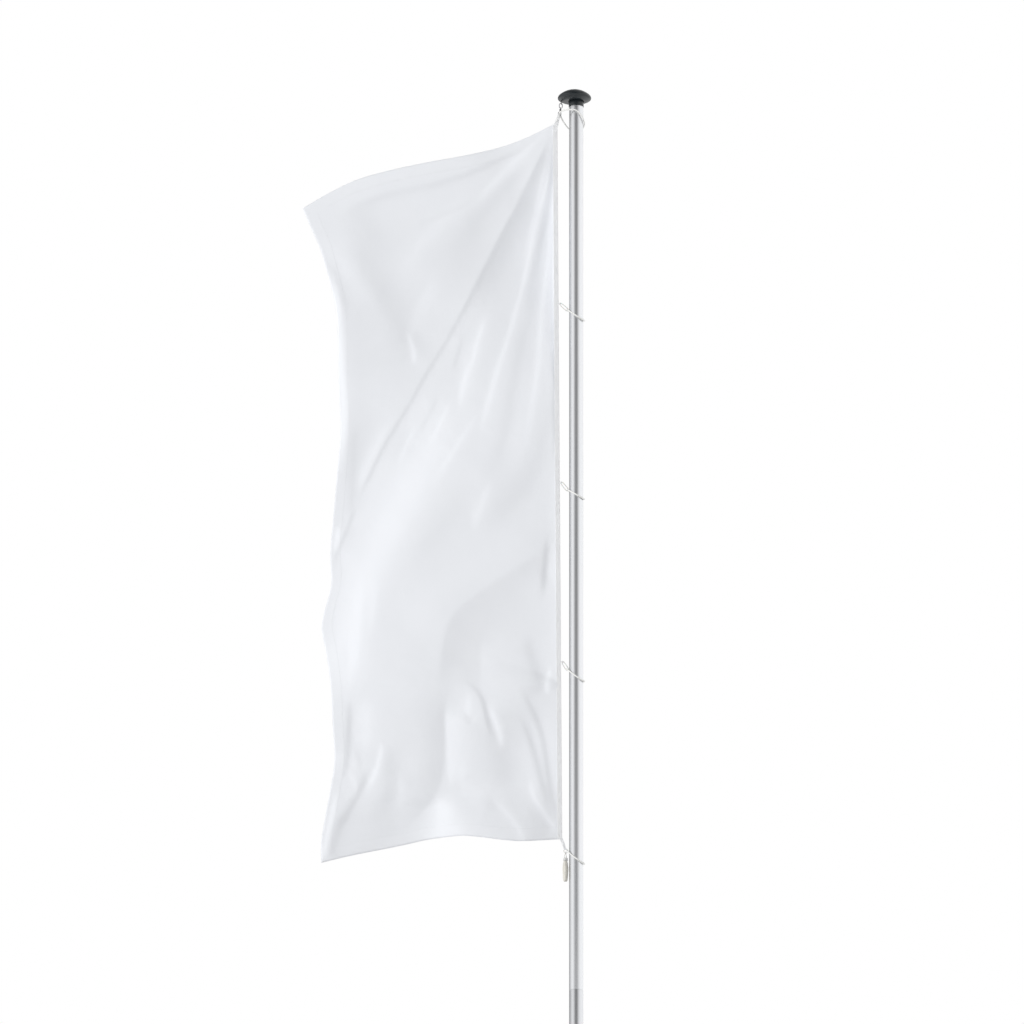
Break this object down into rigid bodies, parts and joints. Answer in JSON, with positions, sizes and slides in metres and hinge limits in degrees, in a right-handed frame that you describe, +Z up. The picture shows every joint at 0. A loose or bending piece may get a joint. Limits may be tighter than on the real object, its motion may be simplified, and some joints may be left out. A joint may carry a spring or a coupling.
{
  "type": "flagpole",
  "caption": "Tall cylindrical aluminium flagpole on a bolted foot, with a mushroom cap that turns and carries a portrait banner flag held to the pole by loose cord loops.",
  "frame": {"origin": "centre of the base plate's underside, on the pole's axis", "axes": "+Z up the pole; the flag flies towards -X at rest; +X points away from the flag"},
  "size_m": [1.605, 0.3, 8.064],
  "materials": {
    "galvanised_steel": "satin galvanised",
    "pole_aluminium": "satin anodised",
    "spigot_aluminium": "mill finish",
    "cap_plastic": "gloss",
    "collar_plastic": "satin",
    "bright_steel": "polished",
    "screw_steel": "brushed",
    "white_cord": "braided",
    "flag_fabric": "knitted polyester",
    "webbing": "woven webbing",
    "hook_plastic": "satin",
    "pouch_cover": "coated fabric",
    "neck_tape": "taped"
  },
  "bodies": {
    "pole": {"base_plate": "galvanised_steel", "base_socket": "galvanised_steel", "base_gusset_1": "galvanised_steel", "base_gusset_2": "galvanised_steel", "base_gusset_3": "galvanised_steel", "base_gusset_4": "galvanised_steel", "base_collar": "collar_plastic", "clamp_screw_1": "screw_steel", "clamp_screw_2": "screw_steel", "clamp_screw_3": "screw_steel", "pole_lower": "pole_aluminium", "joint_spigot": "spigot_aluminium", "pole_upper": "pole_aluminium", "head_bearing": "cap_plastic"},
    "turning_head": {"cap_dome": "cap_plastic", "cap_hub": "cap_plastic", "eye_bolt": "screw_steel", "chain_link": "bright_steel", "swivel_barrel": "collar_plastic", "snap_hook": "bright_steel", "head_cord": "white_cord", "flag_cloth": "flag_fabric", "hoist_band": "webbing", "hoist_tab_1": "webbing", "hoist_tab_2": "webbing", "hoist_tab_3": "webbing", "hoist_tab_4": "webbing", "hoist_tab_5": "webbing", "hoist_hook_1": "hook_plastic", "hoist_hook_2": "hook_plastic", "hoist_hook_3": "hook_plastic", "corner_ring": "hook_plastic", "retaining_loop_1": "white_cord", "retaining_loop_2": "white_cord", "retaining_loop_3": "white_cord", "retaining_loop_4": "white_cord", "retaining_loop_5": "white_cord", "weight_cord": "white_cord", "weight_neck": "neck_tape", "weight_pouch": "pouch_cover"}
  },
  "joints": [
    {"name": "head_turn", "type": "hinge", "parent": "pole", "child": "turning_head", "pos_m": [0, 0, 8], "axis": [0, 0, 1], "continuous": true}
  ]
}
